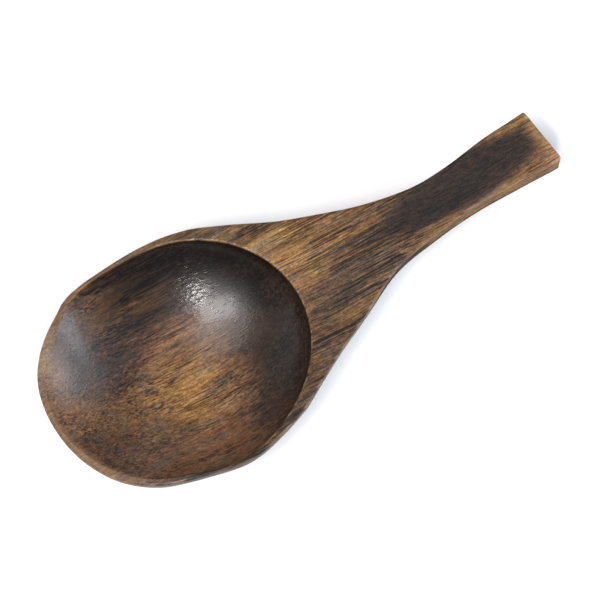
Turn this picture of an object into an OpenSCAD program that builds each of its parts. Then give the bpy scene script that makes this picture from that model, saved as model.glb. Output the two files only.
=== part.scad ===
// Tea scoop carved from one piece of wood and finished with a thin wiped lacquer.
// X runs along the scoop, from the front lip to the end of the handle. Z is up.
// The origin lies on the flat foot, under the middle of the bowl.

/* [Bowl] */
// Width across the bowl
bowl_w = 43; // [34:0.5:56]
// From the middle of the bowl to the front lip
front_l = 23.9; // [21:0.1:30]
// From the middle of the bowl back to its widest place
wide_x = 3; // [0:0.5:4]
// Height of the rim above the foot
rim_h = 13.5; // [11.5:0.1:18]
// How far the front lip dips below the rim
lip_drop = 1.4; // [0:0.1:2.5]
// How far the hand-cut outline strays sideways
outline_stray = 1.2; // [0:0.1:2]
// How deep the flats are that the knife leaves along the outline
knife_cut = 0.18; // [0:0.02:0.2]

/* [Hollow] */
// Width of the rim beside the hollow
rim_w = 0.9; // [0.7:0.1:3]
// Width of the rim at the front lip
lip_w = 0.85; // [0.7:0.05:2]
// From the middle of the bowl to the back of the hollow
hollow_back = 24; // [20:0.1:28]
// Thickness of the wood under the hollow
floor_t = 3.6; // [2:0.1:5]

/* [Handle] */
// From the middle of the bowl to the end of the handle
handle_l = 75.7; // [66:0.1:100]
// From the middle of the bowl to the narrowest place of the handle
waist_x = 54.5; // [46:0.5:60]
// Width of the handle at its narrowest place
waist_w = 9.2; // [7:0.1:13]
// Width of the handle at its end
end_w = 10.8; // [8:0.1:16]
// How far askew the handle's end is cut, from its middle to a corner
end_skew = 0.35; // [0:0.05:1]
// Thickness of the handle at its narrowest place
handle_t = 5.2; // [4.4:0.1:7]
// Thickness of the handle at its end
end_t = 6.2; // [5.4:0.1:8]
// How far the handle's top rises above the rim
handle_rise = 2.2; // [0:0.1:6]
// From the middle of the bowl to where the thick shoulder has run out
neck_x = 50; // [40:0.5:60]

/* [Edges] */
// Height of the upright edge round the bowl
bowl_edge = 1.3; // [1:0.1:2]
// Height of the upright edge at the handle's narrowest place
handle_edge = 3.8; // [2:0.1:4.2]
// Height of the upright edge at the handle's end
end_edge = 4.8; // [2:0.1:5]
// Rounding of the top edge
edge_r = 0.4; // [0.2:0.01:0.6]

/* [Foot] */
// From the front lip to the start of the flat foot
foot_start = 14.5; // [10:0.5:18]
// From the end of the flat foot to the back of the hollow
foot_stop = 2; // [1:0.5:8]
// Width of the flat foot
foot_w = 17; // [8:0.5:24]

/* [Lacquer] */
// Thickness of the lacquer
coat_t = 0.1; // [0.05:0.01:0.2]

/* [Hidden] */

// How square the front of the bowl is in plan: 2 is an ellipse
front_power = 2.25;
// The shoulder's outline, from the widest place of the bowl to the waist
shoulder_x_shares = [0, 0.20, 0.33, 0.52, 0.71, 0.85, 1];
shoulder_w_shares = [1, 0.877, 0.695, 0.413, 0.166, 0.052, 0];
// How the outline strays sideways, from the front lip to the end of the handle
stray_x_shares = [0, 0.045, 0.10, 0.13, 0.16, 0.25, 0.34, 0.45, 0.54, 0.65, 0.76, 0.91, 1];
stray_shares = [1.1, 0.55, 0.3, 0.5, 0.4, -0.3, 0, 0.15, -0.1, 0.15, -0.25, 0, -0.2];
// How deep the knife cut along the way: 1 is a full flat, 0 or less a corner between two flats
cut_x_shares = [0, 0.03, 0.10, 0.13, 0.19, 0.25, 0.30, 0.36, 0.44, 0.50, 0.58, 0.65, 0.74, 0.83,
    0.91, 0.96, 1];
cut_shares = [1, 0.4, 0.4, -0.2, 1, 0, 0.6, -0.3, 0, 0.7, -0.2, 0.6, 0, 0.5, -0.1, 0.4, 0];
// How late the handle widens behind its narrowest place
flare_power = 1.15;
// How fast the front lip dips, and how fast the handle's top rises
dip_power = 2.5;
rise_power = 2;
// How sharply the hollow turns down at its front and at its back
front_wall_power = 1.1;
back_wall_power = 0.6;
// How much deeper the hollow is towards the handle
deep_share = 0.12;
// How slack the underside is at the front, across the bowl and across the handle
front_belly_power = 1.35;
bowl_belly_power = 1.7;
handle_belly_power = 2.2;
// How blunt the ends of the flat foot are
foot_power = 3;
// How early the keel behind the foot rises
keel_power = 0.85;

// Steps round the hollow before, over and behind the foot, and along the handle
front_steps = 9;
foot_steps = 13;
back_steps = 4;
handle_steps = 17;
// Steps from the middle of the hollow to its rim, over the rim and round the underside
hollow_steps = 8;
rim_steps = 2;
belly_steps = 7;
// Places of the rounded edge, as angles from its flat top to its upright side
round_angles = [0, 45, 90];
// Two points nearer to each other than this are one point
same_point = 0.0001;

half_w = bowl_w / 2;
round_r = min(edge_r, lip_w / 2);
hollow_front = front_l - lip_w;
hollow_mid = (hollow_back - hollow_front) / 2;
hollow_half_l = (hollow_back + hollow_front) / 2;
hollow_half_w = half_w - rim_w;
hollow_d = rim_h - floor_t;
foot_x0 = foot_start - front_l;
foot_x1 = hollow_back - foot_stop;
foot_mid = (foot_x0 + foot_x1) / 2;
foot_half_l = (foot_x1 - foot_x0) / 2;

// How much of the rounded belly is cut away to make the foot as wide as it is
belly_h = rim_h - bowl_edge;
foot_cut = belly_h / (1 - quarter(foot_w / bowl_w, bowl_belly_power)) - belly_h;

// Angles round the hollow at which the foot starts and stops
start_angle = acos((hollow_mid - foot_x0) / hollow_half_l);
stop_angle = acos((hollow_mid - foot_x1) / hollow_half_l);

// The cross-sections, counted from the front lip
tip_count = len(round_angles);
first_foot = tip_count + front_steps;
last_foot = first_foot + foot_steps;
last_hollow = last_foot + back_steps;
last_section = last_hollow + handle_steps + len(round_angles) - 1;

function ease(u) = let (v = min(1, max(0, u))) v * v * (3 - 2 * v);
function mix(a, b, u) = a + (b - a) * u;

// A smooth curve through a few places, level at both of its ends
function slope(xs, ys, i) = i == 0 || i == len(xs) - 1 ? 0
    : (ys[i + 1] - ys[i - 1]) / (xs[i + 1] - xs[i - 1]);
function span_of(xs, u, i = 0) = i == len(xs) - 2 || u < xs[i + 1] ? i : span_of(xs, u, i + 1);
function follow(xs, ys, u) = let (
        i = span_of(xs, u),
        w = xs[i + 1] - xs[i],
        s = (u - xs[i]) / w)
    mix(ys[i], ys[i + 1], ease(s))
        + w * s * (1 - s) * (slope(xs, ys, i) * (1 - s) - slope(xs, ys, i + 1) * s);

// A quarter of a round whose power says how square it is, from 0 at u = 0 to 1 at u = 1
function quarter(u, power) = 1 - pow(max(0, 1 - pow(max(0, u), power)), 1 / power);

// Half the width of the outline at x, drawn in by inset, before the knife has cut its flats
function even_outline(x, inset) = x < wide_x
    ? (half_w - inset) * (1 - quarter((wide_x - x) / (front_l + wide_x - inset), front_power))
    : x < waist_x
        ? mix(waist_w / 2, half_w, follow(shoulder_x_shares, shoulder_w_shares,
            (x - wide_x) / (waist_x - wide_x))) - inset
        : mix(waist_w, end_w, ease(pow(handle_share(x), flare_power))) / 2 - inset;

// Half the width of the outline at x, with flats that run out where the outline closes
function outline(x, inset) = let (even = even_outline(x, inset))
    even - knife_cut * follow(cut_x_shares, cut_shares, whole_share(x)) * ease(even / (4 * edge_r));

// The share of the way from the handle's narrowest place to its end, and along the whole scoop
function handle_share(x) = max(0, (x - waist_x) / (handle_l - waist_x));
function whole_share(x) = (x + front_l) / (front_l + handle_l);

// How far the hand-cut outline strays sideways, and how far along a point moves for the skew end
function stray(x) = outline_stray * follow(stray_x_shares, stray_shares, whole_share(x));
function skew(x, y) = -end_skew * ease(handle_share(x)) * y / (end_w / 2);

// Height of the flat top at x
function top_z(x) = rim_h - lip_drop * pow(max(0, -x / front_l), dip_power)
    + handle_rise * pow(max(0, (x - hollow_back) / (handle_l - hollow_back)), rise_power);

// Height of the upright edge at x
function edge_h(x) = mix(bowl_edge, handle_edge, ease((x - hollow_back) / (waist_x - hollow_back)))
    + (end_edge - handle_edge) * ease(handle_share(x));

// Height of the underside's lowest line at x, below zero where the foot has been cut flat
function keel_z(x) = x < foot_x0
    ? (top_z(-front_l) - bowl_edge)
        * quarter((foot_x0 - x) / (front_l + foot_x0), front_belly_power)
    : x < foot_x1
        ? -foot_cut * max(0, 1 - pow(abs(x - foot_mid) / foot_half_l, foot_power))
        : (top_z(x) - mix(handle_t, end_t, ease(handle_share(x))))
            * ease(pow((x - foot_x1) / (neck_x - foot_x1), keel_power));

// Depth of the hollow, from its height at the rim, at a share of the way out to the rim
function hollow_depth(along, out) = hollow_d * (1 + deep_share * along)
    * pow(max(0, 1 - out * out),
        mix(front_wall_power, back_wall_power, (1 + along) / 2));

// Where cross-section i lies along the scoop, on the skin that is drawn in by inset
function station(i, inset) = i < tip_count
    ? -front_l + inset + (round_r - inset) * (1 - cos(round_angles[i]))
    : i <= first_foot
        ? around(start_angle * (i - tip_count) / front_steps, inset)
        : i <= last_foot
            ? around(mix(start_angle, stop_angle, (i - first_foot) / foot_steps), inset)
            : i <= last_hollow
                ? around(mix(stop_angle, 180, (i - last_foot) / back_steps), inset)
                : along_handle(i - last_hollow, inset);
function around(angle, inset) = hollow_mid - (hollow_half_l + inset) * cos(angle);
function along_handle(j, inset) = j <= handle_steps
    ? mix(hollow_back + inset, handle_l - round_r, j / handle_steps)
    : handle_l - round_r + (round_r - inset) * sin(round_angles[j - handle_steps]);

// One side of cross-section i as points, from the middle of the top, over the rim and the
// edge and round the underside, to the middle of the foot
function half_section(i, inset) = let (
        x = station(i, inset),
        r = round_r - inset,
        tip_d = max(0, station(tip_count - 1, inset) - x),
        end_d = max(0, x - handle_l + round_r),
        fall = r - sqrt(max(0, r * r - tip_d * tip_d)),
        shrink = r - sqrt(max(0, r * r - end_d * end_d)),
        top = top_z(x) - inset - shrink,
        low = keel_z(x) + inset + shrink,
        half = x <= inset - front_l + same_point ? 0 : outline(x, inset) - shrink,
        edge = top_z(x) - edge_h(x),
        in_hollow = i > tip_count && i < last_hollow,
        along = (x - hollow_mid) / (hollow_half_l + inset),
        hollow_half = in_hollow ? (hollow_half_w + inset) * sqrt(1 - along * along) : 0,
        on_foot = i >= first_foot && i <= last_foot,
        foot_x = on_foot ? station(i, 0) : x,
        flat_half = half == 0 ? 0 : edge_place(x, inset, r, 0) - shrink,
        power = mix(bowl_belly_power, handle_belly_power,
            ease((x - foot_x1) / (waist_x - foot_x1))),
        foot_edge = top_z(foot_x) - edge_h(foot_x),
        cut = i > first_foot && i < last_foot,
        stop = cut ? asin(pow(foot_edge / (foot_edge - keel_z(foot_x)), power / 2)) : 90)
    concat(
        [for (k = [0 : hollow_steps])
            let (reach = sin(90 * k / hollow_steps),
                out = sqrt(along * along + pow(reach, 2) * max(0, 1 - along * along)),
                depth = in_hollow && k < hollow_steps ? hollow_depth(along, out) : 0)
            [x, reach * hollow_half, top - fall - depth]],
        [for (k = [1 : rim_steps])
            [x, mix(hollow_half, flat_half, k / rim_steps), top - fall]],
        [for (a = [1 : len(round_angles) - 1])
            [x, half == 0 ? 0 : edge_place(x, inset, r, round_angles[a]) - shrink,
                top - max(fall, r * (1 - cos(round_angles[a])))]],
        [[x, half, edge]],
        [for (k = [1 : belly_steps])
            let (a = stop * k / belly_steps)
            on_foot && k == belly_steps
                ? [foot_x, outline(foot_x, 0) * pow(cos(a), 2 / power), 0]
                : [x, half * pow(cos(a), 2 / power), edge - (edge - low) * pow(sin(a), 2 / power)]],
        [[foot_x, 0, on_foot ? 0 : low]]);

// Half the width of the rounded edge at an angle, nothing where it has closed at the tip
function edge_place(x, inset, r, angle) = let (step = inset + r * (1 - sin(angle)))
    x <= step - front_l + same_point ? 0 : outline(x, step);

// The whole cross-section as a closed ring: one side, then the other side mirrored
function ring(i, inset) = let (
        side = half_section(i, inset),
        other = [for (j = [len(side) - 2 : -1 : 1]) [side[j][0], -side[j][1], side[j][2]]])
    [for (p = concat(side, other)) p + [skew(p[0], p[1]), stray(p[0]), 0]];

side_count = hollow_steps + 1 + rim_steps + len(round_angles) - 1 + 1 + belly_steps + 1;
ring_count = 2 * side_count - 2;

// A skin is all cross-sections in turn, with the middle of the handle's end as its last point
function skin_points(inset) = concat(
    [for (i = [0 : last_section]) each ring(i, inset)],
    [[handle_l - inset, stray(handle_l), mix(top_z(handle_l), keel_z(handle_l), 1 / 2)]]);

// Triangles between neighbouring cross-sections, with or without those of the bare foot
function skin_faces(with_foot) = [
    for (i = [0 : last_section - 1])
        for (j = [0 : ring_count - 1])
            if (with_foot || (j != side_count - 2 && j != side_count - 1))
                let (n = (j + 1) % ring_count,
                    a = i * ring_count + j,
                    b = i * ring_count + n)
                each [[a, b + ring_count, a + ring_count], [a, b, b + ring_count]]];

// Triangles that close the end of the handle
function end_faces() = let (first = last_section * ring_count, middle = first + ring_count)
    [for (j = [0 : ring_count - 1]) [first + j, first + (j + 1) % ring_count, middle]];

// A triangle is kept where its three points differ
function apart(p, q) = norm(p - q) > same_point;
function whole(points, faces) = [for (f = faces)
    if (apart(points[f[0]], points[f[1]]) && apart(points[f[1]], points[f[2]])
        && apart(points[f[2]], points[f[0]])) f];

// The carved wood, one lacquer thickness inside the finished surface and bare at its foot
module wood_body() {
    points = skin_points(coat_t);
    color("saddlebrown")
        polyhedron(points, whole(points, concat(skin_faces(true), end_faces())));
}

// The lacquer: a film between the finished surface and the wood, open round the flat foot
module lacquer_coat() {
    outer = skin_points(0);
    inner = skin_points(coat_t);
    points = concat(outer, inner);
    faces = concat(skin_faces(false), end_faces());
    inside = [for (f = faces) [f[0], f[2], f[1]] + [len(outer), len(outer), len(outer)]];
    color("#4a2c17")
        polyhedron(points, whole(points, concat(faces, inside)));
}

wood_body();
lacquer_coat();
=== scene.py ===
"""A tea scoop carved from one piece of open-grained wood and finished with wiped lacquer.

Sizes are in millimetres in the shape functions and become metres when a piece is made.
X runs along the scoop from the front lip to the end of the handle, Y across it, and Z is up.
The finishes are patterns along the fibres, and maps on the points say where they are worn,
red, greyish, glossy or open, and where shade and a sheen are painted into the colour.
"""
import math
from collections import namedtuple

import bpy
import numpy as np
from mathutils import Matrix


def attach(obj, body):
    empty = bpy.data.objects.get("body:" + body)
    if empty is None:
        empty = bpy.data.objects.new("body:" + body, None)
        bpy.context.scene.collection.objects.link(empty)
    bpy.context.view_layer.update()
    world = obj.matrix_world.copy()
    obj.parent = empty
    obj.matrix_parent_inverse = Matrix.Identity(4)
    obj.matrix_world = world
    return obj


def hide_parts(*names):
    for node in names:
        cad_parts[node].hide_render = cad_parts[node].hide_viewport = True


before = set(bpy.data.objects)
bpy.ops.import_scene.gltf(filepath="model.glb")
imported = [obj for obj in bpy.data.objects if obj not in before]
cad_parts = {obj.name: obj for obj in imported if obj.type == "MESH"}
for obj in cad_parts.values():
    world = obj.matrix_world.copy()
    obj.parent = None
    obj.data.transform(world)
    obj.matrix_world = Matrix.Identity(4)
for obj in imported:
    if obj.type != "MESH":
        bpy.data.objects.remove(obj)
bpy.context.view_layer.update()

MM = 0.001
QUARTER_TURN = math.pi / 2

# Sizes of the scoop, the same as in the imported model
BOWL_W = 43.0  # width across the bowl
FRONT_L = 23.9  # from the middle of the bowl to the front lip
WIDE_X = 3.0  # from the middle of the bowl back to its widest place
RIM_H = 13.5  # height of the rim above the foot
LIP_DROP = 1.4  # how far the front lip dips below the rim
OUTLINE_STRAY = 1.2  # how far the hand-cut outline strays sideways
KNIFE_CUT = 0.18  # how deep the flats are that the knife leaves along the outline
RIM_W = 0.9  # width of the rim beside the hollow
LIP_W = 0.85  # width of the rim at the front lip
HOLLOW_BACK = 24.0  # from the middle of the bowl to the back of the hollow
FLOOR_T = 3.6  # thickness of the wood under the hollow
HANDLE_L = 75.7  # from the middle of the bowl to the end of the handle
WAIST_X = 54.5  # from the middle of the bowl to the narrowest place of the handle
WAIST_W = 9.2  # width of the handle at its narrowest place
END_W = 10.8  # width of the handle at its end
END_SKEW = 0.35  # how far askew the handle's end is cut, from its middle to a corner
HANDLE_T = 5.2  # thickness of the handle at its narrowest place
END_T = 6.2  # thickness of the handle at its end
HANDLE_RISE = 2.2  # how far the handle's top rises above the rim
NECK_X = 50.0  # from the middle of the bowl to where the thick shoulder has run out
BOWL_EDGE = 1.3  # height of the upright edge round the bowl
HANDLE_EDGE = 3.8  # height of the upright edge at the handle's narrowest place
END_EDGE = 4.8  # height of the upright edge at the handle's end
EDGE_R = 0.4  # rounding of the top edge
FOOT_START = 14.5  # from the front lip to the start of the flat foot
FOOT_STOP = 2.0  # from the end of the flat foot to the back of the hollow
FOOT_W = 17.0  # width of the flat foot
COAT_T = 0.1  # thickness of the lacquer

# Rounding of the hollow's rim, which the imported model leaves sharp: behind and in front
RIM_R = 0.35
FRONT_RIM_R = 0.12
# The share of the hollow's length, from its front, over which that rounding grows
RIM_GROWTH = 0.6

# How square the front of the bowl is in plan: 2 is an ellipse
FRONT_POWER = 2.25
# The shoulder's outline, from the widest place of the bowl to the waist
SHOULDER_X = np.array([0, 0.20, 0.33, 0.52, 0.71, 0.85, 1])
SHOULDER_W = np.array([1, 0.877, 0.695, 0.413, 0.166, 0.052, 0])
# How the outline strays sideways, from the front lip to the end of the handle
STRAY_X = np.array([0, 0.045, 0.10, 0.13, 0.16, 0.25, 0.34, 0.45, 0.54, 0.65, 0.76, 0.91, 1])
STRAY_SHARES = np.array([1.1, 0.55, 0.3, 0.5, 0.4, -0.3, 0, 0.15, -0.1, 0.15, -0.25, 0, -0.2])
# How deep the knife cut along the way: 1 is a full flat, 0 or less a corner between two flats
CUT_X = np.array([0, 0.03, 0.10, 0.13, 0.19, 0.25, 0.30, 0.36, 0.44, 0.50, 0.58, 0.65, 0.74,
                  0.83, 0.91, 0.96, 1])
CUT_SHARES = np.array([1, 0.4, 0.4, -0.2, 1, 0, 0.6, -0.3, 0, 0.7, -0.2, 0.6, 0,
                       0.5, -0.1, 0.4, 0])
# How wide half the outline is where the knife's flats reach their full depth
CUT_FADE = 4 * EDGE_R
# How late the handle widens behind its narrowest place
FLARE_POWER = 1.15
# How fast the front lip dips, and how fast the handle's top rises
DIP_POWER = 2.5
RISE_POWER = 2
# How sharply the hollow turns down at its front and at its back
FRONT_WALL_POWER = 1.1
BACK_WALL_POWER = 0.6
# How much deeper the hollow is towards the handle
DEEP_SHARE = 0.12
# How slack the underside is at the front, across the bowl and across the handle
FRONT_BELLY_POWER = 1.35
BOWL_BELLY_POWER = 1.7
HANDLE_BELLY_POWER = 2.2
# How blunt the ends of the flat foot are, and how early the keel behind it rises
FOOT_POWER = 3
KEEL_POWER = 0.85

HALF_W = BOWL_W / 2
HOLLOW_FRONT = FRONT_L - LIP_W
HOLLOW_MID = (HOLLOW_BACK - HOLLOW_FRONT) / 2
HOLLOW_HALF_L = (HOLLOW_BACK + HOLLOW_FRONT) / 2
HOLLOW_HALF_W = HALF_W - RIM_W
HOLLOW_D = RIM_H - FLOOR_T
FOOT_X0 = FOOT_START - FRONT_L
FOOT_X1 = HOLLOW_BACK - FOOT_STOP
FOOT_MID = (FOOT_X0 + FOOT_X1) / 2
FOOT_HALF_L = (FOOT_X1 - FOOT_X0) / 2

# Lines round the scoop: steps of each stretch of half a cross-section
HOLLOW_LINES = 60
RIM_LINES = 6
LAND_LINES = 12
EDGE_LINES = 7
SIDE_LINES = 8
BELLY_LINES = 44
FOOT_LINES = 6
# Cross-sections: steps of each stretch along the scoop
TIP_STEPS = 8
FRONT_STEPS = 52
FOOT_STEPS = 76
BACK_STEPS = 26
HANDLE_STEPS = 64
END_STEPS = 6
# A step of the inner surface takes this many of the outer one's, but for the rounded edge
INNER_SKIP = 2
# Cross-sections nearer to the lip than this are one with it
SAME_PLACE = 1e-9
# Points that agree to this many decimals of a millimetre are merged
MERGE_DIGITS = 6
# Faces that meet at a larger angle than this have a sharp edge between them
SHARP_ANGLE = math.radians(50)


def mix(a, b, u):
    """The straight blend from a at u = 0 to b at u = 1."""
    return a + (b - a) * u


def ease(u):
    """A smooth step: 0 up to u = 0, 1 from u = 1, and 3u^2 - 2u^3 between them."""
    v = np.clip(u, 0, 1)
    return v * v * (3 - 2 * v)


def rise(value, start, stop):
    """A smooth step that is 0 up to start and 1 from stop."""
    return ease((value - start) / (stop - start))


def steps(stop, count):
    """Places from 0 to stop that are count equal steps apart."""
    return np.linspace(0, stop, count + 1)


def quarter(u, power):
    """A quarter of a round, 1 - (1 - u^power)^(1/power), from 0 at u = 0 to 1 at u = 1."""
    return 1 - np.maximum(0, 1 - np.maximum(0, u) ** power) ** (1 / power)


def follow(xs, ys, u):
    """A smooth curve through a few places, cubic between each two and level at both ends."""
    slopes = np.zeros(len(xs))
    slopes[1:-1] = (ys[2:] - ys[:-2]) / (xs[2:] - xs[:-2])
    i = np.clip(np.searchsorted(xs, u, side="right") - 1, 0, len(xs) - 2)
    w = xs[i + 1] - xs[i]
    s = (u - xs[i]) / w
    bend = w * s * (1 - s) * (slopes[i] * (1 - s) - slopes[i + 1] * s)
    return mix(ys[i], ys[i + 1], ease(s)) + bend


def handle_share(x):
    """The share of the way from the handle's narrowest place to its end."""
    return np.clip((x - WAIST_X) / (HANDLE_L - WAIST_X), 0, 1)


def whole_share(x):
    """The share of the way along the whole scoop."""
    return np.clip((x + FRONT_L) / (FRONT_L + HANDLE_L), 0, 1)


def stray(x):
    """How far the hand-cut outline strays sideways, a smooth curve along the whole scoop."""
    return OUTLINE_STRAY * follow(STRAY_X, STRAY_SHARES, whole_share(x))


def knife_cut(x):
    """How far the knife cut inside the even outline, deep on its flats and nothing at corners."""
    return KNIFE_CUT * follow(CUT_X, CUT_SHARES, whole_share(x))


def skew(x, y):
    """How far along a point moves for the skew end, growing with a smooth step on the handle."""
    return -END_SKEW * ease(handle_share(x)) * y / (END_W / 2)


def outline(x, inset):
    """Half the width of the scoop at x, drawn in by inset.

    The front is a squarish half-ellipse, the shoulder a curve through chosen places down to
    the waist, and the handle flares from there with a smooth step.
    """
    forward = (WIDE_X - x) / (FRONT_L + WIDE_X - inset)
    front = (HALF_W - inset) * (1 - quarter(forward, FRONT_POWER))
    back = np.clip((x - WIDE_X) / (WAIST_X - WIDE_X), 0, 1)
    shoulder = mix(WAIST_W / 2, HALF_W, follow(SHOULDER_X, SHOULDER_W, back))
    handle = mix(WAIST_W, END_W, ease(handle_share(x) ** FLARE_POWER)) / 2
    even = np.where(x < WIDE_X, front, np.where(x < WAIST_X, shoulder, handle) - inset)
    return even - knife_cut(x) * ease(even / CUT_FADE)


def top_z(x):
    """Height of the flat top: level over the bowl, dipping to the lip, rising along the handle."""
    dip = LIP_DROP * np.maximum(0, -x / FRONT_L) ** DIP_POWER
    lift = np.maximum(0, (x - HOLLOW_BACK) / (HANDLE_L - HOLLOW_BACK)) ** RISE_POWER
    return RIM_H - dip + HANDLE_RISE * lift


def edge_h(x):
    """Height of the upright edge, low round the bowl and higher and higher along the handle."""
    neck = mix(BOWL_EDGE, HANDLE_EDGE, rise(x, HOLLOW_BACK, WAIST_X))
    return neck + (END_EDGE - HANDLE_EDGE) * ease(handle_share(x))


# How much of the rounded belly is cut away to make the foot as wide as it is
BELLY_H = RIM_H - BOWL_EDGE
FOOT_CUT = BELLY_H / (1 - quarter(FOOT_W / BOWL_W, BOWL_BELLY_POWER)) - BELLY_H


def keel_z(x):
    """Height of the underside's lowest line.

    It rises in a round to the front lip, lies below zero where the foot is cut flat, and rises
    with a smooth step to the handle's even thickness.
    """
    front = (top_z(-FRONT_L) - BOWL_EDGE) * quarter(
        (FOOT_X0 - x) / (FRONT_L + FOOT_X0), FRONT_BELLY_POWER)
    foot = -FOOT_CUT * np.maximum(0, 1 - (np.abs(x - FOOT_MID) / FOOT_HALF_L) ** FOOT_POWER)
    along = np.maximum(0, (x - FOOT_X1) / (NECK_X - FOOT_X1)) ** KEEL_POWER
    back = (top_z(x) - mix(HANDLE_T, END_T, ease(handle_share(x)))) * ease(along)
    return np.where(x < FOOT_X0, front, np.where(x < FOOT_X1, foot, back))


def rim_round(along, inset):
    """Radius of the rim's rounding, small at the front and growing to the full one behind."""
    return mix(FRONT_RIM_R, RIM_R, ease((1 + along) / (2 * RIM_GROWTH))) - inset


def hollow_depth(x, y, inset):
    """Depth below the flat top, at a place measured from the scoop's own middle line.

    Inside the rim's ellipse it is the rim's rounding plus a bowl, (1 - out^2)^power, whose
    power is small at the back for a steep wall. Just outside it is a quarter circle, the
    rounded rim, and it is nothing further out.
    """
    half_l, half_w = HOLLOW_HALF_L + inset, HOLLOW_HALF_W + inset
    along = (x - HOLLOW_MID) / half_l
    round_r = rim_round(along, inset)
    out = np.sqrt(along ** 2 + (y / half_w) ** 2)
    power = mix(FRONT_WALL_POWER, BACK_WALL_POWER, np.clip((1 + along) / 2, 0, 1))
    bowl = (HOLLOW_D - round_r) * (1 + DEEP_SHARE * along) * np.maximum(0, 1 - out ** 2) ** power
    step = np.clip((out - 1) * half_w, 0, round_r)
    rim = round_r - np.sqrt(np.maximum(0, round_r ** 2 - (round_r - step) ** 2))
    return np.where(out < 1, round_r + bowl, rim)


def stations(inset):
    """Places of the cross-sections along X.

    Quarter rounds at both ends of the scoop and at both ends of the hollow, equal angles round
    the hollow with one station at each end of the foot, and equal steps along the handle.
    """
    half_l = HOLLOW_HALF_L + inset
    tip = -FRONT_L + inset + (EDGE_R - inset) * (1 - np.cos(steps(QUARTER_TURN, TIP_STEPS)))
    rim = 1 - np.cos(steps(QUARTER_TURN, RIM_LINES))
    rim = rim * half_l / (HOLLOW_HALF_W + inset)
    front_rim, back_rim = rim * rim_round(-1, inset), rim * rim_round(1, inset)
    start, stop = (math.acos((HOLLOW_MID - x) / HOLLOW_HALF_L) for x in (FOOT_X0, FOOT_X1))
    angles = np.concatenate([
        steps(start, FRONT_STEPS)[:-1],
        np.linspace(start, stop, FOOT_STEPS + 1)[:-1],
        np.linspace(stop, math.pi, BACK_STEPS + 1)])
    hollow = HOLLOW_MID - half_l * np.cos(angles)
    handle = np.linspace(hollow[-1] + back_rim[-1], HANDLE_L - EDGE_R, HANDLE_STEPS + 1)
    end = HANDLE_L - EDGE_R + (EDGE_R - inset) * np.sin(steps(QUARTER_TURN, END_STEPS)[1:])
    return np.concatenate([
        tip[:-1], hollow[0] - front_rim[:0:-1], hollow, hollow[-1] + back_rim[1:-1], handle, end])


def foot_stations():
    """Index of the first and the last cross-section that touches the flat foot."""
    first = TIP_STEPS + RIM_LINES + FRONT_STEPS
    return first, first + FOOT_STEPS


def end_rounds(x, inset):
    """How far the top falls at the rounded lip, and how far all shrinks at the rounded end.

    Both are quarter circles of the top edge's rounding.
    """
    r = EDGE_R - inset
    tip_d = np.maximum(0, -FRONT_L + EDGE_R - x)
    end_d = np.maximum(0, x - HANDLE_L + EDGE_R)
    return tuple(r - np.sqrt(np.maximum(0, r * r - d ** 2)) for d in (tip_d, end_d))


def edge_place(x, inset, turn):
    """Half the width of the rounded top edge at a turn, from its flat top to its upright side."""
    step = inset + (EDGE_R - inset) * (1 - np.sin(turn))
    return np.where(x <= step - FRONT_L, 0, outline(np.maximum(x, step - FRONT_L), step))


def top_across(x, inset, skip, flat_y):
    """How far across the top's lines lie, from the middle to the outer edge at flat_y.

    Lines run in equal angles up the wall of the hollow, round its rim in equal angles and
    over the flat top in equal steps.
    """
    half_l, half_w = HOLLOW_HALF_L + inset, HOLLOW_HALF_W + inset
    along = (x - HOLLOW_MID) / half_l
    wall_turn = steps(QUARTER_TURN, HOLLOW_LINES // skip)
    wall_y = np.sin(wall_turn) * half_w * np.sqrt(np.maximum(0, 1 - along ** 2))
    rim_turn = steps(QUARTER_TURN, RIM_LINES // skip)[1:]
    out = 1 + rim_round(along, inset) * (1 - np.cos(rim_turn)) / half_w
    rim_y = half_w * np.sqrt(np.maximum(0, out ** 2 - along ** 2))
    land_y = mix(rim_y[:, -1:], flat_y, steps(1, LAND_LINES // skip)[1:])
    return np.concatenate([wall_y, rim_y, land_y], 1)


def belly_round(x, outer_x, skip):
    """How far out and how far down the belly's lines lie, as shares of its width and height.

    It is a superellipse, out = cos(turn)^(2/power) and down = sin(turn)^(2/power), that stops
    in the middle or, over the foot, where the finished surface is cut flat.
    """
    power = mix(BOWL_BELLY_POWER, HANDLE_BELLY_POWER, rise(x, FOOT_X1, WAIST_X))
    first, last = foot_stations()
    cut = np.zeros(x.shape, bool)
    cut[first + 1:last] = True
    edge = top_z(outer_x) - edge_h(outer_x)
    share = np.where(cut, edge / (edge - np.minimum(0, keel_z(outer_x))), 1)
    stop = np.where(cut, np.arcsin(np.clip(share ** (power / 2), 0, 1)), QUARTER_TURN)
    turn = stop * steps(1, BELLY_LINES // skip)[1:]
    fold = np.maximum(0, np.cos(turn))
    fold[:, -1:] = np.where(cut, fold[:, -1:], 0)
    return fold ** (2 / power), np.sin(turn) ** (2 / power)


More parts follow.
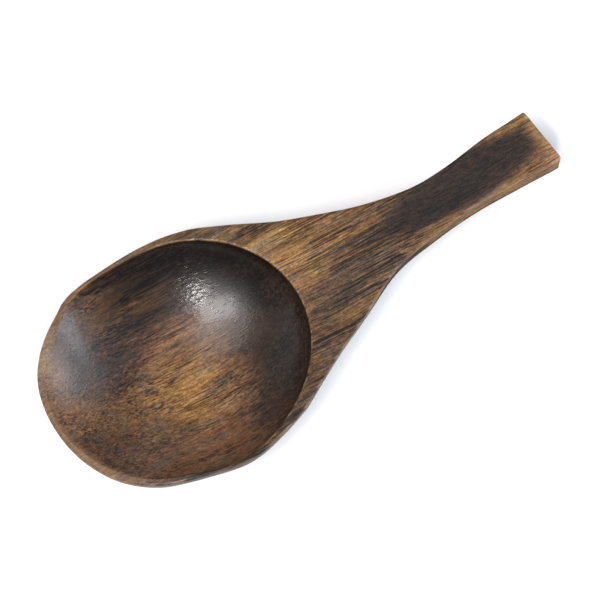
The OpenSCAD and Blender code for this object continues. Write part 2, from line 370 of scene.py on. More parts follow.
def half_section(inset, skip):
    """One side of all cross-sections as an array of stations by lines by XYZ.

    Lines run from the middle of the hollow up its wall, round the rim, over the flat top,
    round the outer edge, down the side, along the belly and in over the foot. The foot is
    flat at zero and the same on both surfaces.
    """
    x, outer_x = stations(inset)[:, None], stations(0)[:, None]
    fall, shrink = end_rounds(x, inset)
    flat = top_z(x) - inset - shrink
    half = np.where(x <= inset - FRONT_L + SAME_PLACE, 0, outline(x, inset) - shrink)

    flat_y = np.where(half > 0, edge_place(x, inset, 0.0) - shrink, 0)
    top_y = top_across(x, inset, skip, flat_y)
    top = flat - np.maximum(fall, hollow_depth(x + 0 * top_y, top_y, inset))

    edge_turn = steps(QUARTER_TURN, EDGE_LINES)[1:]
    edge_y = np.where(half > 0, edge_place(x, inset, edge_turn) - shrink, 0)
    edge = flat - np.maximum(fall, (EDGE_R - inset) * (1 - np.cos(edge_turn)))

    low_edge = top_z(x) - edge_h(x)
    side = mix(edge[:, -1:], low_edge, steps(1, SIDE_LINES // skip)[1:])
    side_y = half + 0 * side

    out, down = belly_round(x, outer_x, skip)
    belly_y = half * out
    belly = low_edge - (low_edge - (keel_z(x) + inset + shrink)) * down

    foot_share = 1 - steps(1, FOOT_LINES // skip)
    foot_y = belly_y[:, -1:] * foot_share[1:]
    foot = belly[:, -1:] + 0 * foot_y

    ys = np.concatenate([top_y, edge_y, side_y, belly_y, foot_y], 1)
    zs = np.concatenate([top, edge, side, belly, foot], 1)
    xs = x + 0 * ys
    first, last = foot_stations()
    rows, lines = slice(first, last + 1), slice(-len(foot_share), None)
    outer_foot = outline(outer_x, 0) * out[:, -1:] * foot_share
    xs[rows, lines] = outer_x[rows]
    ys[rows, lines] = outer_foot[rows]
    zs[rows, lines] = 0
    return np.stack([xs, ys, zs], -1)


def skin(inset, skip=1):
    """All cross-sections as closed rings: one side, and its mirror back to the start.

    Every ring then strays sideways, and those of the handle turn towards its skew end.
    """
    side = half_section(inset, skip)
    mirrored = side[:, -2:0:-1] * np.array([1, -1, 1])
    x, y, z = np.moveaxis(np.concatenate([side, mirrored], 1), -1, 0)
    return np.stack([x + skew(x, y), y + stray(x), z], -1)


def skin_points(rings):
    """The rings' points in turn, with the middle of the handle's end as the last point."""
    return np.concatenate([rings.reshape(-1, 3), rings[-1].mean(0)[None]])


def skin_faces(rings, bare_lines=0):
    """Triangles between neighbouring rings, and a fan over the handle's end.

    bare_lines leaves out that many lines over the foot, on each side of its middle.
    """
    rows, lines = rings.shape[:2]
    middle = lines // 2
    j = np.arange(lines)
    j = j[(j < middle - bare_lines) | (j >= middle + bare_lines)]
    row = np.arange(rows - 1)[:, None] * lines
    a, b = (row + j).ravel(), (row + (j + 1) % lines).ravel()
    quads = np.concatenate([
        np.stack([a, a + lines, b + lines], 1), np.stack([a, b + lines, b], 1)])
    ring = (rows - 1) * lines + np.arange(lines)
    end = np.stack([ring, np.full(lines, rows * lines), np.roll(ring, -1)], 1)
    return np.concatenate([quads, end])


# Where a thumb has rubbed the handle dark, and how far that reaches along and across
THUMB_PLACE = (59.5, 0.3)
THUMB_REACH = (17.3, 4.3)
# Lacquer pools, with painted shade laid over it, outside an oval about this place, where ways
# across count for a little less, fading in between two distances, and behind a slanting line,
# fading in between two places
POOL_SHADE_MIDDLE_X = -4
POOL_SHADE_ACROSS = 0.9
POOL_SHADE_DISTANCES = (12, 21)
POOL_SHADE_SLANT = 0.45
POOL_SHADE_LINE = (-1, 11)
# How far past the rim's ellipse the look of the hollow fades out, as a share of its half width
RIM_FADE = 0.03

# A soft spot of a map: the value that it draws towards, its place, how far it reaches along
# and across, and the share of the way that it draws
Spot = namedtuple("Spot", "value place reach share", defaults=[1.0])


class Places:
    """Where points lie on the scoop, with short calls for the maps of its looks.

    x and y are a point's place, and down is its depth below the flat top. The masks of the hollow,
    the thumb's patch and the pooled lacquer are 1 in the hollow, on the thumb's patch and where
    lacquer pools under painted shade, and 0 elsewhere.
    """

    def __init__(self, points):
        self.x, self.y, z = points.T
        self.down = top_z(self.x) - z
        self.hollow = self.in_hollow()
        self.thumb = self.near(THUMB_PLACE, THUMB_REACH, 8)
        self.pool = self.in_pool_and_shade()

    def in_hollow(self):
        """A soft step at the rim's ellipse, only below the flat top."""
        along = (self.x - HOLLOW_MID) / HOLLOW_HALF_L
        out = np.sqrt(along ** 2 + ((self.y - stray(self.x)) / HOLLOW_HALF_W) ** 2)
        return rise(self.down, 0, 2 * RIM_R) * (1 - rise(out, 1, 1 + RIM_FADE))

    def in_pool_and_shade(self):
        """High on the wall at the back and at the far side of the hollow, where pooled lacquer and
        painted shade darken it.
        """
        out = np.hypot(self.x - POOL_SHADE_MIDDLE_X, self.y * POOL_SHADE_ACROSS)
        return rise(out, *POOL_SHADE_DISTANCES) * rise(self.x + POOL_SHADE_SLANT * self.y, *POOL_SHADE_LINE)

    def near(self, place, reach, power=4):
        """1 at a place, falling off as exp(-d^power) of the distance over its reach."""
        d2 = ((self.x - place[0]) / reach[0]) ** 2 + ((self.y - place[1]) / reach[1]) ** 2
        return np.exp(-d2 ** (power / 2))

    def laid(self, base, *spots):
        """A base with soft spots laid over each other, each drawing it towards its own value."""
        for spot in spots:
            base = mix(base, spot.value, spot.share * self.near(spot.place, spot.reach))
        return base

    def strongest(self, *spots):
        """The strongest of soft spots over nothing."""
        return np.max([spot.value * self.near(spot.place, spot.reach) for spot in spots], 0)

    def split(self, outside, inside):
        """One map for the hollow and another for all the rest."""
        return mix(outside, inside, self.hollow)


# Tones of the thumb's patch, of the upright edge beside the shoulder, which is painted shade, and
# on the handle, how much more it is worn at the handle's end, and the tone and reach of the
# painted shade along its lower corner
THUMB_TONE = 0.07
SHOULDER_SIDE_SHADE_TONE = 0.10
HANDLE_SIDE_TONE = 0.54
END_SIDE_WEAR = 0.14
CORNER_SHADE_TONE = 0.12
CORNER_SHADE_REACH = 0.5
# Tones of the pooled lacquer with painted shade over it, at its near and at its far side
NEAR_POOL_SHADE_TONE = 0.12
FAR_POOL_SHADE_TONE = 0.03


def outside_tone(at):
    """The tone of the rim, the shoulder and the handle."""
    tone = at.laid(
        0.44,
        # Shoulder: worn gold beside the hollow, darker and darker towards the handle
        Spot(0.47, (26, 5), (7, 12)),
        Spot(0.66, (24, 8), (5, 6)),
        Spot(0.44, (28, 13), (9, 2.5)),
        Spot(0.42, (43, 0), (9, 10)),
        Spot(0.50, (27, -0.5), (5, 2)),
        Spot(0.39, (32, -8), (11, 3.5)),
        Spot(0.35, (35, -3.4), (10, 1.9)),
        Spot(0.34, (20, -15), (12, 6)),
        Spot(0.56, (49, -4.6), (5, 1.8)),
        # Rim: paler in front, worn in part and a painted sheen in part, dark along its near side
        Spot(0.26, (9, -20), (12, 4)),
        Spot(0.46, (-22, 6), (7, 12)),
        Spot(0.66, (-19, 14), (5, 5)),
        Spot(0.16, (-6, -20), (12, 7)),
        Spot(0.50, (-22, -7), (5, 6)),
        Spot(0.38, (-15, -16), (5, 4), 0.6),
        # Handle: worn margins round the thumb's patch
        Spot(0.58, (66, 0), (12, 7)))
    tone = mix(tone, THUMB_TONE, at.thumb)
    # The rest of the handle: dark beside the thumb's patch and worn at the end
    tone = at.laid(
        tone,
        Spot(0.12, (57, 3.2), (8, 2.6)),
        Spot(0.68, (77, 0), (3.4, 8)),
        Spot(0.82, (77, -5), (3.5, 3)))
    # Upright edge: painted shade, nearly black, beside the shoulder, worn on the handle, with
    # painted shade along its lower corner
    behind = rise(at.x, 12, 20)
    side = mix(SHOULDER_SIDE_SHADE_TONE, HANDLE_SIDE_TONE, rise(at.x, 46, 50))
    side = side + END_SIDE_WEAR * rise(at.x, 70, 76)
    tone = mix(tone, side, rise(at.down, 0.5, 1.3) * behind)
    # Painted shade along the lower corner, where the upright edge turns under
    corner = np.exp(-((at.down - edge_h(at.x)) / CORNER_SHADE_REACH) ** 2)
    return mix(tone, CORNER_SHADE_TONE, corner * behind)


def inside_tone(at):
    """The tone of the hollow: reddish brown in front, gold on the floor, dark at the back."""
    tone = at.laid(
        0.37,
        # Front wall
        Spot(0.45, (-20, 4), (4, 9)),
        Spot(0.60, (-20, 11), (4, 5)),
        Spot(0.32, (-19, -8), (4, 6)),
        Spot(0.43, (-13, 3), (6, 4)),
        Spot(0.44, (-8, -3), (6, 6)),
        Spot(0.24, (-9, 8), (8, 7)),
        # Floor
        Spot(0.66, (0.4, -2), (7.5, 7)),
        Spot(0.50, (3, 5.5), (5, 3.5)),
        Spot(0.50, (5, -8), (5, 4)),
        # Near wall
        Spot(0.43, (-7, -12), (9, 5)),
        Spot(0.45, (1, -16), (8, 4)),
        Spot(0.60, (1, -9.5), (4, 3)),
        Spot(0.38, (9.5, -5), (3.5, 4)),
        Spot(0.25, (11, -17), (6, 4.5)),
        # Far wall: dark with pooled lacquer and painted shade
        Spot(0.08, (3, 13.5), (9, 4)),
        Spot(0.20, (4, 17), (10, 6)),
        Spot(0.24, (-3, 19), (12, 4), 0.6),
        # Where the floor turns up at the back
        Spot(0.46, (12, -3), (5, 9), 0.8))
    # Pooled lacquer high on the back and far wall, with painted shade laid over it
    tone = mix(tone, mix(NEAR_POOL_SHADE_TONE, FAR_POOL_SHADE_TONE, rise(at.y, -8, 6)), at.pool)
    # Back wall, where a little wood shows through the pooled lacquer and painted shade
    return at.laid(tone, Spot(0.20, (15, 0), (4, 4)), Spot(0.14, (22, 1), (3, 5)))


def tone_map(at):
    """How much wood shows through the lacquer, from 0 for pooled lacquer to 1 for bare gold, with
    painted shade and a painted sheen laid into it.
    """
    return at.split(outside_tone(at), inside_tone(at))


def line_map(at):
    """How strongly the long lines of the grain stand out: least under thick lacquer."""
    inside = at.laid(
        0.45,
        Spot(0.75, (2, -3), (9, 9)),
        Spot(0.3, (-16, 12), (6, 7)),
        Spot(0.8, (-2, 16), (8, 5)),
        Spot(0.35, (12, 3), (5, 5)))
    outside = mix(0.85, 0.7, rise(at.x, 40, 52)) * mix(0.4, 1, rise(at.x, -4, 10))
    return at.split(mix(outside, 0.15, at.thumb), mix(inside, 0.3, at.pool))


def dot_map(at):
    """How strongly the fine dots of the wood stand out: most where the fibres are cut across."""
    inside = at.laid(
        0.55,
        Spot(0.75, (0, -4), (11, 10)),
        Spot(0.35, (-16, 12), (6, 7)),
        Spot(0.3, (-2, 16), (8, 5)))
    outside = mix(0.7, 0.6, rise(at.x, 40, 52)) * mix(0.6, 1, rise(at.x, -4, 10))
    return at.split(mix(outside, 0.4, at.thumb), mix(inside, 0.3, at.pool))


def red_map(at):
    """How reddish the brown is.

    It is most in the front of the hollow, on the front rim and under the thumb, and least on
    the shoulder and the sides.
    """
    inside = at.laid(
        0.9,
        Spot(0.2, (1, -3), (9, 8)),
        Spot(0.4, (-9, -3), (8, 6)),
        Spot(0.9, (8, -12), (8, 6)),
        Spot(0.3, (-2, 16), (9, 5)))
    outside = mix(0.95, 0.05, rise(at.x, -12, 8))
    outside = at.laid(outside, Spot(0.4, (-20, -8), (8, 10)))
    red = mix(at.split(outside, inside), 0.8, at.thumb)
    red = at.laid(red, Spot(0.6, (77, -5), (4, 4)))
    return mix(red, 0.15, rise(at.down, 0.6, 1.6) * (1 - at.hollow))


def grey_and_sheen_map(at):
    """How greyish the brown is: most on the far front rim and on the wall inside it, where it is a
    painted sheen.
    """
    inside = at.strongest(
        Spot(0.6, (-17, 12), (5, 8)),
        Spot(0.5, (11, -15), (6, 6)),
        Spot(0.4, (-12, -10), (7, 5)))
    outside = at.strongest(
        Spot(0.8, (-19, 14), (6, 8)),
        Spot(0.4, (34, -4.5), (11, 3.5)))
    return at.split(np.maximum(outside, 0.3 * at.thumb), np.maximum(inside, 0.5 * at.pool))


def gloss_map(at):
    """How glossy the lacquer lies: most in the hollow, and nothing on the handle's sides."""
    side = rise(at.down, EDGE_R, 2 * EDGE_R) * rise(at.x, 30, 40)
    return at.split(mix(0.5, 0.0, side), at.laid(0.80, Spot(0.65, (-8, 8), (8, 10))))


def relief_map(at):
    """How deep the pores lie open: most where the back wall turns, least further up that wall."""
    inside = at.laid(0.25, Spot(1.0, (8.5, 11.5), (4.5, 4)))
    return at.split(0.7, mix(inside, 0.15, rise(at.x, 13, 17)))


def ring_arris(rings, skip):
    """1 on the rounded rim and on the rounded outer edge, falling as a sine to 0 beside them."""
    side = np.concatenate([
        np.zeros(HOLLOW_LINES // skip + 1),
        np.sin(steps(math.pi, RIM_LINES // skip))[1:],
        np.zeros(LAND_LINES // skip),
        np.sin(steps(math.pi, EDGE_LINES))[1:],
        np.zeros((SIDE_LINES + BELLY_LINES + FOOT_LINES) // skip)])
    ring = np.concatenate([side, side[-2:0:-1]])
    return np.append(np.tile(ring, len(rings)), 0.0)


def make_piece(name, points, faces, material, node, maps):
    """A mesh from arrays of points in millimetres and triangles, with point attributes.

    Points that fall together are merged, and a triangle that then has no area is left out.
    """
    rounded = np.round(points, MERGE_DIGITS)
    places, first, back = np.unique(rounded, axis=0, return_index=True, return_inverse=True)
    faces = back.ravel()[faces]
    a, b, c = faces.T
    faces = faces[(a != b) & (b != c) & (c != a)]
    mesh = bpy.data.meshes.new(name)
    mesh.from_pydata((places * MM).tolist(), [], faces.tolist())
    for label, values in maps.items():
        layer = mesh.attributes.new(label, "FLOAT", "POINT")
        layer.data.foreach_set("value", values[first].astype(np.float32))
    mesh.shade_smooth()
    mesh.set_sharp_from_angle(angle=SHARP_ANGLE)
    mesh.materials.append(material)
    piece = bpy.data.objects.new(name, mesh)
    bpy.context.scene.collection.objects.link(piece)
    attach(piece, "root")
    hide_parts(node)


def paint(colour):
    """A colour as a painter's chart gives it, from 0 to 255, turned into light."""
    share = np.array(colour) / 255
    light = np.where(share <= 0.04045, share / 12.92, ((share + 0.055) / 1.055) ** 2.4)
    return (*light.tolist(), 1.0)


class Finish:
    """A material under construction, with short calls for the nodes that it needs."""

    def __init__(self, name):
        self.material = bpy.data.materials.new(name)
        self.material.use_nodes = True
        self.tree = self.material.node_tree
        self.shader = self.tree.nodes["Principled BSDF"]

    def put(self, socket, value):
        """Links an output to a socket, or sets the socket to a plain value."""
        if isinstance(value, bpy.types.NodeSocket):
            self.tree.links.new(value, socket)
        else:
            socket.default_value = value

    def surface(self, name, value):
        """Gives the surface itself a colour, a roughness or the like."""
        self.put(self.shader.inputs[name], value)

    def node(self, kind, inputs, **settings):
        made = self.tree.nodes.new(kind)
        for key, value in settings.items():
            setattr(made, key, value)
        for key, value in inputs.items():
            self.put(made.inputs[key], value)
        return made

    def own_place(self):
        return self.node("ShaderNodeTexCoord", {}).outputs["Object"]

    def attribute(self, name):
        return self.node("ShaderNodeAttribute", {}, attribute_name=name).outputs["Fac"]

    def spread(self, vector, scale, turn=(0, 0, 0), shift=(0, 0, 0)):
        inputs = {"Vector": vector, "Scale": scale, "Rotation": turn, "Location": shift}
        return self.node("ShaderNodeMapping", inputs).outputs["Vector"]

    def stretch(self, vector, size, turn=(0, 0, 0), shift=(0, 0, 0)):
        """A grid whose cells have this length, width and height in millimetres."""
        return self.spread(vector, tuple(1 / side for side in size), turn, shift)

    def noise(self, vector, size, detail=2.0, roughness=0.5, turn=(0, 0, 0), shift=(0, 0, 0)):
        """Cloudy marks of this length, width and height in millimetres, from 0 to 1."""
        inputs = {"Vector": self.stretch(vector, size, turn, shift), "Scale": 1.0,
                  "Detail": detail, "Roughness": roughness}
        return self.node("ShaderNodeTexNoise", inputs).outputs["Fac"]

    def cells(self, vector, size):
        """The distance to the middle of the nearest cell, for cells of this size."""
        inputs = {"Vector": self.stretch(vector, size), "Scale": 1.0}
        return self.node("ShaderNodeTexVoronoi", inputs, feature="F1").outputs["Distance"]

    def calculate(self, operation, *values, clamp=False):
        made = self.node("ShaderNodeMath", {}, operation=operation, use_clamp=clamp)
        for socket, value in zip(made.inputs, values):
            self.put(socket, value)
        return made.outputs["Value"]

    def times(self, first, second):
        return self.calculate("MULTIPLY", first, second)

    def most(self, first, second):
        return self.calculate("MAXIMUM", first, second)

    def total(self, *values, clamp=False):
        """Two or more values added up, with the sum clipped to 0 and 1 on request."""
        so_far = values[0]
        for value in values[1:-1]:
            so_far = self.calculate("ADD", so_far, value)
        return self.calculate("ADD", so_far, values[-1], clamp=clamp)

    def swing(self, pattern, reach):
        """A pattern's distance from one half, up or down, times a reach."""
        return self.times(self.calculate("SUBTRACT", pattern, 0.5), reach)

    def fit(self, value, low, high, to_low=0.0, to_high=1.0):
        """A smooth step from to_low, where the value is low, to to_high, where it is high."""
        inputs = {"Value": value, "From Min": low, "From Max": high, "To Min": to_low,
                  "To Max": to_high}
        made = self.node("ShaderNodeMapRange", inputs, interpolation_type="SMOOTHSTEP")
        return made.outputs["Result"]

    def ramp(self, share, places, colours):
        """Colours of a painter's chart at their places from 0 to 1, blended between them."""
        made = self.node("ShaderNodeValToRGB", {"Fac": share})
        elements = made.color_ramp.elements
        while len(elements) < len(places):
            elements.new(1.0)
        for element, place, colour in zip(elements, places, colours):
            element.position = place
            element.color = paint(colour)
        return made.outputs["Color"]

    def blend(self, share, first, second):
        """A colour that goes from the first to the second as share goes from 0 to 1."""
        made = self.node("ShaderNodeMix", {}, data_type="RGBA")
        colour_inputs = [socket for socket in made.inputs if socket.type == "RGBA"]
        self.put(made.inputs["Factor"], share)
        for socket, colour in zip(colour_inputs, (first, second)):
            self.put(socket, colour)
        return next(socket for socket in made.outputs if socket.type == "RGBA")

    def bump(self, height, depth):
        inputs = {"Height": height, "Distance": depth, "Strength": 1.0}
        return self.node("ShaderNodeBump", inputs).outputs["Normal"]


# How far the fibres run askew of the scoop, how the growth bands lean, and how deep pores are
FIBRE_TURN = math.radians(4)
BAND_LEAN = math.radians(25)
PORE_DEPTH = 0.05 * MM

# Length, width and height in millimetres of the marks of each pattern
SWAY_SIZE = (16, 9, 9)
BAND_SIZE = (12, 2.4, 3.2)
STREAK_SIZE = (12, 0.8, 1.0)
HAIR_SIZE = (14, 0.26, 0.26)
PALE_HAIR_SIZE = (9, 0.24, 0.24)
PORE_SIZE = (6, 0.45, 0.45)
FLECK_SIZE = (1.5, 0.5, 0.5)
SPECKLE_SIZE = (0.45, 0.28, 0.28)
CLEAR_SIZE = (12, 3.2, 3.2)
BLUSH_SIZE = (5, 1.6, 1.6)
WARM_SIZE = (6, 2.2, 2.2)
COOL_SIZE = (7, 1.8, 1.8)
GRIT_SIZE = (0.9, 0.45, 0.45)

# How far each pattern moves the lacquer's tone: the first four up and down, the others one way
BAND_SWING = 0.55
STREAK_SWING = 0.4
FLECK_SWING = 0.7
SPECKLE_SWING = 0.9
HAIR_SHADE = -0.28
PORE_SHADE = -0.20
PALE_HAIR_SHADE = 0.11

# Colours of the lacquer at these tones: of two main kinds, of rusty clouds, and of ashy clouds and
# the painted sheen on the front rim
TONES = (0.0, 0.25, 0.5, 0.72, 1.0)
GOLD = ((13, 9, 7), (65, 45, 22), (108, 79, 42), (148, 114, 57), (198, 162, 96))
BROWN = ((14, 9, 8), (62, 43, 33), (110, 79, 58), (148, 110, 80), (196, 154, 110))
RUST = ((15, 9, 7), (67, 41, 30), (113, 73, 49), (157, 107, 67), (204, 156, 106))
ASH = ((12, 10, 10), (52, 44, 40), (90, 77, 65), (130, 113, 90), (184, 162, 130))
# The colour of a pale edge, worn in part and a painted highlight in part, and how much of it shows
# where the edge is palest
EDGE_WEAR_AND_HIGHLIGHT = (170, 142, 106)
EDGE_WEAR_AND_HIGHLIGHT_SHARE = 0.35

# Colours of the bare wood at these tones
BARE_TONES = (0.1, 0.5, 0.9)
BARE_WOOD = ((96, 68, 46), (158, 120, 80), (198, 164, 118))


def fibre_grid(finish):
    """Object coordinates in millimetres, turned so that X runs along the wood's fibres.

    The fibres sway in soft waves, by up to a millimetre sideways and less up and down.
    """
    straight = finish.spread(finish.own_place(), (1 / MM,) * 3, turn=(0, 0, FIBRE_TURN))
    sway = finish.noise(straight, SWAY_SIZE, 1.0)
    offset = finish.node("ShaderNodeCombineXYZ", {"Y": sway, "Z": finish.times(sway, 0.6)})
    inputs = {0: straight, 1: offset.outputs[0]}
    return finish.node("ShaderNodeVectorMath", inputs, operation="ADD").outputs[0]


# Growth bands, streaks within them, dark hair lines and pores of the wood
Grain = namedtuple("Grain", "bands streaks hairs pores")


def grain(finish, fibre):
    """The patterns of the wood, each from 0 to 1."""
    lean = (BAND_LEAN, 0, 0)
    bands = finish.noise(fibre, BAND_SIZE, 1.0, 0.4, lean)
    streaks = finish.noise(fibre, STREAK_SIZE, 1.0, 0.5, lean)
    hairs = finish.fit(finish.noise(fibre, HAIR_SIZE, 1.0, 0.6), 0.48, 0.57)
    pores = finish.fit(finish.cells(fibre, PORE_SIZE), 0.36, 0.16)
    return Grain(bands, streaks, hairs, pores)


def lacquer_tone(finish, fibre, wood):
    """The tone map, moved by the lines and dots of the grain as far as their own maps say.

    Lines are growth bands with streaks, dark hairs, pores and pale hairs, which stand out
    clearly in some stretches and faintly in others. Dots are flecks and finer speckle.
    """
    pale_hairs = finish.noise(fibre, PALE_HAIR_SIZE, 1.0, 0.6, shift=(5, 3, 7))
    pale_hairs = finish.fit(pale_hairs, 0.54, 0.64)
    fine = finish.total(
        finish.swing(wood.streaks, STREAK_SWING), finish.times(wood.hairs, HAIR_SHADE),
        finish.times(wood.pores, PORE_SHADE), finish.times(pale_hairs, PALE_HAIR_SHADE))
    clear = finish.noise(fibre, CLEAR_SIZE, 1.0, shift=(7, 5, 2))
    clear = finish.fit(clear, 0.36, 0.64, 0.45, 1.35)
    lines = finish.total(finish.swing(wood.bands, BAND_SWING), finish.times(fine, clear))
    flecks = finish.noise(fibre, FLECK_SIZE, 1.0)
    speckle = finish.noise(fibre, SPECKLE_SIZE, 2.0, 0.7)
    dots = finish.total(finish.swing(flecks, FLECK_SWING), finish.swing(speckle, SPECKLE_SWING))
    waves = finish.total(finish.times(lines, finish.attribute("lines")),
                         finish.times(dots, finish.attribute("dots")))
    return finish.total(finish.attribute("tone"), waves, clamp=True)


def lacquer_colour(finish, fibre, tone, streaks):
    """Gold or brown as the red map says, with rusty and ashy clouds, a greyish painted sheen on
    the front rim, and paler edges, worn in part and a painted highlight in part.
    """
    gold, brown, rust, ash = (
        finish.ramp(tone, TONES, colours) for colours in (GOLD, BROWN, RUST, ASH))
    blush = finish.noise(fibre, BLUSH_SIZE)
    warm = finish.noise(fibre, WARM_SIZE, shift=(11, 2, 4))
    cool = finish.noise(fibre, COOL_SIZE, shift=(3, 9, 1))
    red = finish.most(finish.attribute("red"), finish.fit(blush, 0.42, 0.62, 0.0, 0.45))
    # Greyish mottles, and a greyish painted sheen on the front rim and the wall inside it
    grey_and_sheen = finish.most(finish.attribute("grey_and_sheen"), finish.fit(cool, 0.46, 0.72, 0.0, 0.7))
    colour = finish.blend(red, gold, brown)
    colour = finish.blend(finish.fit(warm, 0.44, 0.68, 0.0, 0.55), colour, rust)
    colour = finish.blend(grey_and_sheen, colour, ash)
    # Paler rounded edges, worn in part and a painted highlight in part
    worn = finish.times(finish.attribute("arris"), finish.fit(streaks, 0.4, 0.7))
    return finish.blend(finish.times(worn, EDGE_WEAR_AND_HIGHLIGHT_SHARE), colour, paint(EDGE_WEAR_AND_HIGHLIGHT))


def lacquer_relief(finish, fibre, pores):
    """Fine grit with the pores sunk into it, as deep as the relief map says."""
    grit = finish.noise(fibre, GRIT_SIZE)
    relief = finish.calculate("SUBTRACT", grit, finish.times(pores, 0.8))
    return finish.bump(finish.times(relief, finish.attribute("relief")), PORE_DEPTH)


def lacquer_finish():
    """Dark lacquer wiped over open grain: dark pores and pools, gold where it is worn thin.

    It is rough with no shine at a gloss of 0, and smooth with a thin clear coat at 1.
    """
    finish = Finish("wiped_lacquer")
    fibre = fibre_grid(finish)
    wood = grain(finish, fibre)
    tone = lacquer_tone(finish, fibre, wood)
    normal = lacquer_relief(finish, fibre, wood.pores)
    gloss = finish.attribute("gloss")
    finish.surface("Base Color", lacquer_colour(finish, fibre, tone, wood.streaks))
    finish.surface("Roughness", finish.fit(gloss, 0.0, 1.0, 0.95, 0.26))
    finish.surface("Specular IOR Level", 0.28)
    finish.surface("Coat Weight", finish.fit(gloss, 0.1, 0.5, 0.0, 0.20))
    finish.surface("Coat Roughness", 0.13)
    finish.surface("Normal", normal)
    finish.surface("Coat Normal", normal)
    return finish.material


def bare_wood_finish():
    """Sanded bare wood on the flat foot: pale brown with the same grain."""
    finish = Finish("bare_wood")
    wood = grain(finish, fibre_grid(finish))
    tone = finish.total(
        finish.times(wood.bands, 0.5), finish.times(wood.streaks, 0.5),
        finish.times(wood.hairs, -0.15), finish.times(wood.pores, -0.3), clamp=True)
    finish.surface("Base Color", finish.ramp(tone, BARE_TONES, BARE_WOOD))
    finish.surface("Roughness", 0.68)
    finish.surface("Normal", finish.bump(finish.times(wood.pores, -1.0), PORE_DEPTH))
    return finish.material


def floor_finish():
    """A plain pale floor without shine."""
    finish = Finish("pale_floor")
    finish.surface("Base Color", (0.96, 0.96, 0.96, 1))
    finish.surface("Roughness", 0.9)
    finish.surface("Specular IOR Level", 0.1)
    return finish.material


def make_scoop():
    """The lacquer between the finished surface and the wood, open at the foot, and the wood."""
    outer, inner = skin(0), skin(COAT_T, INNER_SKIP)
    outer_points, inner_points = skin_points(outer), skin_points(inner)
    points = np.concatenate([outer_points, inner_points])
    faces = np.concatenate([
        skin_faces(outer, FOOT_LINES),
        skin_faces(inner, FOOT_LINES // INNER_SKIP)[:, ::-1] + len(outer_points)])
    at = Places(points)
    arris = np.concatenate([ring_arris(outer, 1), ring_arris(inner, INNER_SKIP)])
    arris = arris * mix(1.0, 0.3, rise(at.x, 30, 45))
    maps = {"tone": tone_map(at), "lines": line_map(at), "dots": dot_map(at),
            "red": red_map(at), "gloss": gloss_map(at), "relief": relief_map(at),
            "arris": arris, "grey_and_sheen": grey_and_sheen_map(at)}
    make_piece("lacquer_film", points, faces, lacquer_finish(), "lacquer_coat", maps)
    make_piece("carved_wood", inner_points, skin_faces(inner), bare_wood_finish(),
               "wood_body", {})


# The camera, a long lens over the scoop, with its handle turned up to the right. Lengths and
# places of the camera, the lights and the floor are in metres
CAMERA_ELEVATION = math.radians(72)
CAMERA_TURN = math.radians(32.8)
CAMERA_DISTANCE = 0.5
CAMERA_NEAR = 0.01
CAMERA_AIM = np.array([23.74, -2.15, 13.0]) * MM
PICTURE_SIDE = 600
PIXELS_PER_MM = 5.77

# The picture's right and its far side on the table, and straight up
PICTURE_RIGHT = np.array([math.cos(CAMERA_TURN), -math.sin(CAMERA_TURN), 0])
PICTURE_AWAY = np.array([math.sin(CAMERA_TURN), math.cos(CAMERA_TURN), 0])
UP = np.array([0, 0, 1])

# Every light hangs this far from the place that it looks at, over the back of the bowl
LIGHT_DISTANCE = 0.6
LIGHT_AIM = np.array([10, 0, 8]) * MM
WORLD_LIGHT = 0.24
WARM_WHITE = (1, 0.95, 0.94)

# The floor lies a hair below the foot, so that the two don't touch
FLOOR_HALF_SIDE = 1.5
FLOOR_DROP = 0.02 * MM


def aimed(name, data, place, target, up):
    """An object at a place that looks at a target along its own -Z."""
    back = (place - target) / np.linalg.norm(place - target)
    right = np.cross(up, back)
    right /= np.linalg.norm(right)
    matrix = np.eye(4)
    matrix[:3, :4] = np.stack([right, np.cross(back, right), back, place], 1)
    made = bpy.data.objects.new(name, data)
    made.matrix_world = Matrix(matrix.tolist())
    bpy.context.scene.collection.objects.link(made)
    return made


def make_camera():
    """A camera whose lens gives the chosen pixels per millimetre at the scoop."""
    data = bpy.data.cameras.new("camera")
    focal_pixels = PIXELS_PER_MM * CAMERA_DISTANCE / MM
    data.lens = data.sensor_width * focal_pixels / PICTURE_SIDE
    data.clip_start = CAMERA_NEAR
    way = UP * math.sin(CAMERA_ELEVATION) - PICTURE_AWAY * math.cos(CAMERA_ELEVATION)
    place = CAMERA_AIM + way * CAMERA_DISTANCE
    bpy.context.scene.camera = aimed("camera", data, place, CAMERA_AIM, PICTURE_AWAY)


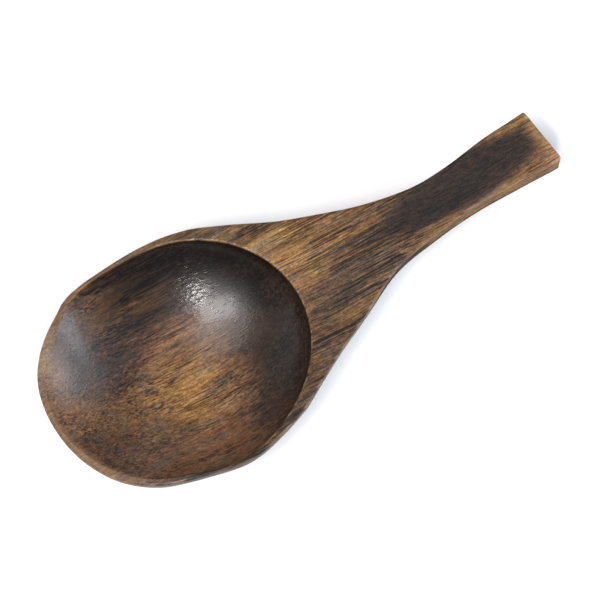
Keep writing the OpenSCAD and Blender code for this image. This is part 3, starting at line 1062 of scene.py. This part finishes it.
def softbox(name, heading, elevation, size, power, colour, lean=0):
    """A rectangular area light round the scoop; heading 0 is the picture's top, 90 its right.

    lean is how many degrees it rises towards the picture's top.
    """
    data = bpy.data.lights.new(name, "AREA")
    data.shape = "RECTANGLE"
    data.size, data.size_y = size
    data.energy = power
    data.color = colour
    turn, lift, tip = (math.radians(angle) for angle in (heading, elevation, lean))
    level = PICTURE_AWAY * math.cos(turn) + PICTURE_RIGHT * math.sin(turn)
    way = level * math.cos(lift) + UP * math.sin(lift)
    up = PICTURE_AWAY * math.cos(tip) + UP * math.sin(tip)
    aimed(name, data, LIGHT_AIM + way * LIGHT_DISTANCE, LIGHT_AIM, up)


def make_studio():
    """Soft lights and a dim white surround.

    The key makes the sparkle on the back wall of the hollow, glow and veil the soft shine
    round it, the two side lights the bluish sheen on its front wall, and left fills in.
    """
    world = bpy.data.worlds.new("studio")
    world.use_nodes = True
    background = world.node_tree.nodes["Background"]
    background.inputs["Color"].default_value = (1, 1, 1, 1)
    background.inputs["Strength"].default_value = WORLD_LIGHT
    bpy.context.scene.world = world
    bpy.context.scene.view_settings.view_transform = "Standard"
    softbox("key", 178, 59, size=(0.05, 0.06), power=1.5, colour=(1, 0.98, 0.96))
    softbox("glow", -149, 66, size=(0.22, 0.15), power=2.0, colour=WARM_WHITE)
    softbox("veil", -110, 71, size=(0.30, 0.30), power=1.2, colour=WARM_WHITE)
    softbox("side", 83, 24.5, size=(0.13, 0.45), power=1.7, colour=(0.70, 0.84, 1), lean=15)
    softbox("side_soft", 83, 27, size=(0.30, 0.60), power=1.1, colour=(0.74, 0.86, 1), lean=15)
    softbox("left", -78, 6, size=(0.80, 0.50), power=0.8, colour=(1, 1, 1))


def make_floor():
    """One large square under the foot."""
    mesh = bpy.data.meshes.new("floor")
    corners = np.array([(-1, -1), (1, -1), (1, 1), (-1, 1)]) * FLOOR_HALF_SIDE
    places = np.concatenate([corners, np.full((4, 1), -FLOOR_DROP)], 1)
    mesh.from_pydata(places.tolist(), [], [(0, 1, 2, 3)])
    mesh.materials.append(floor_finish())
    floor = bpy.data.objects.new("floor", mesh)
    bpy.context.scene.collection.objects.link(floor)


make_camera()
make_studio()
make_floor()
make_scoop()
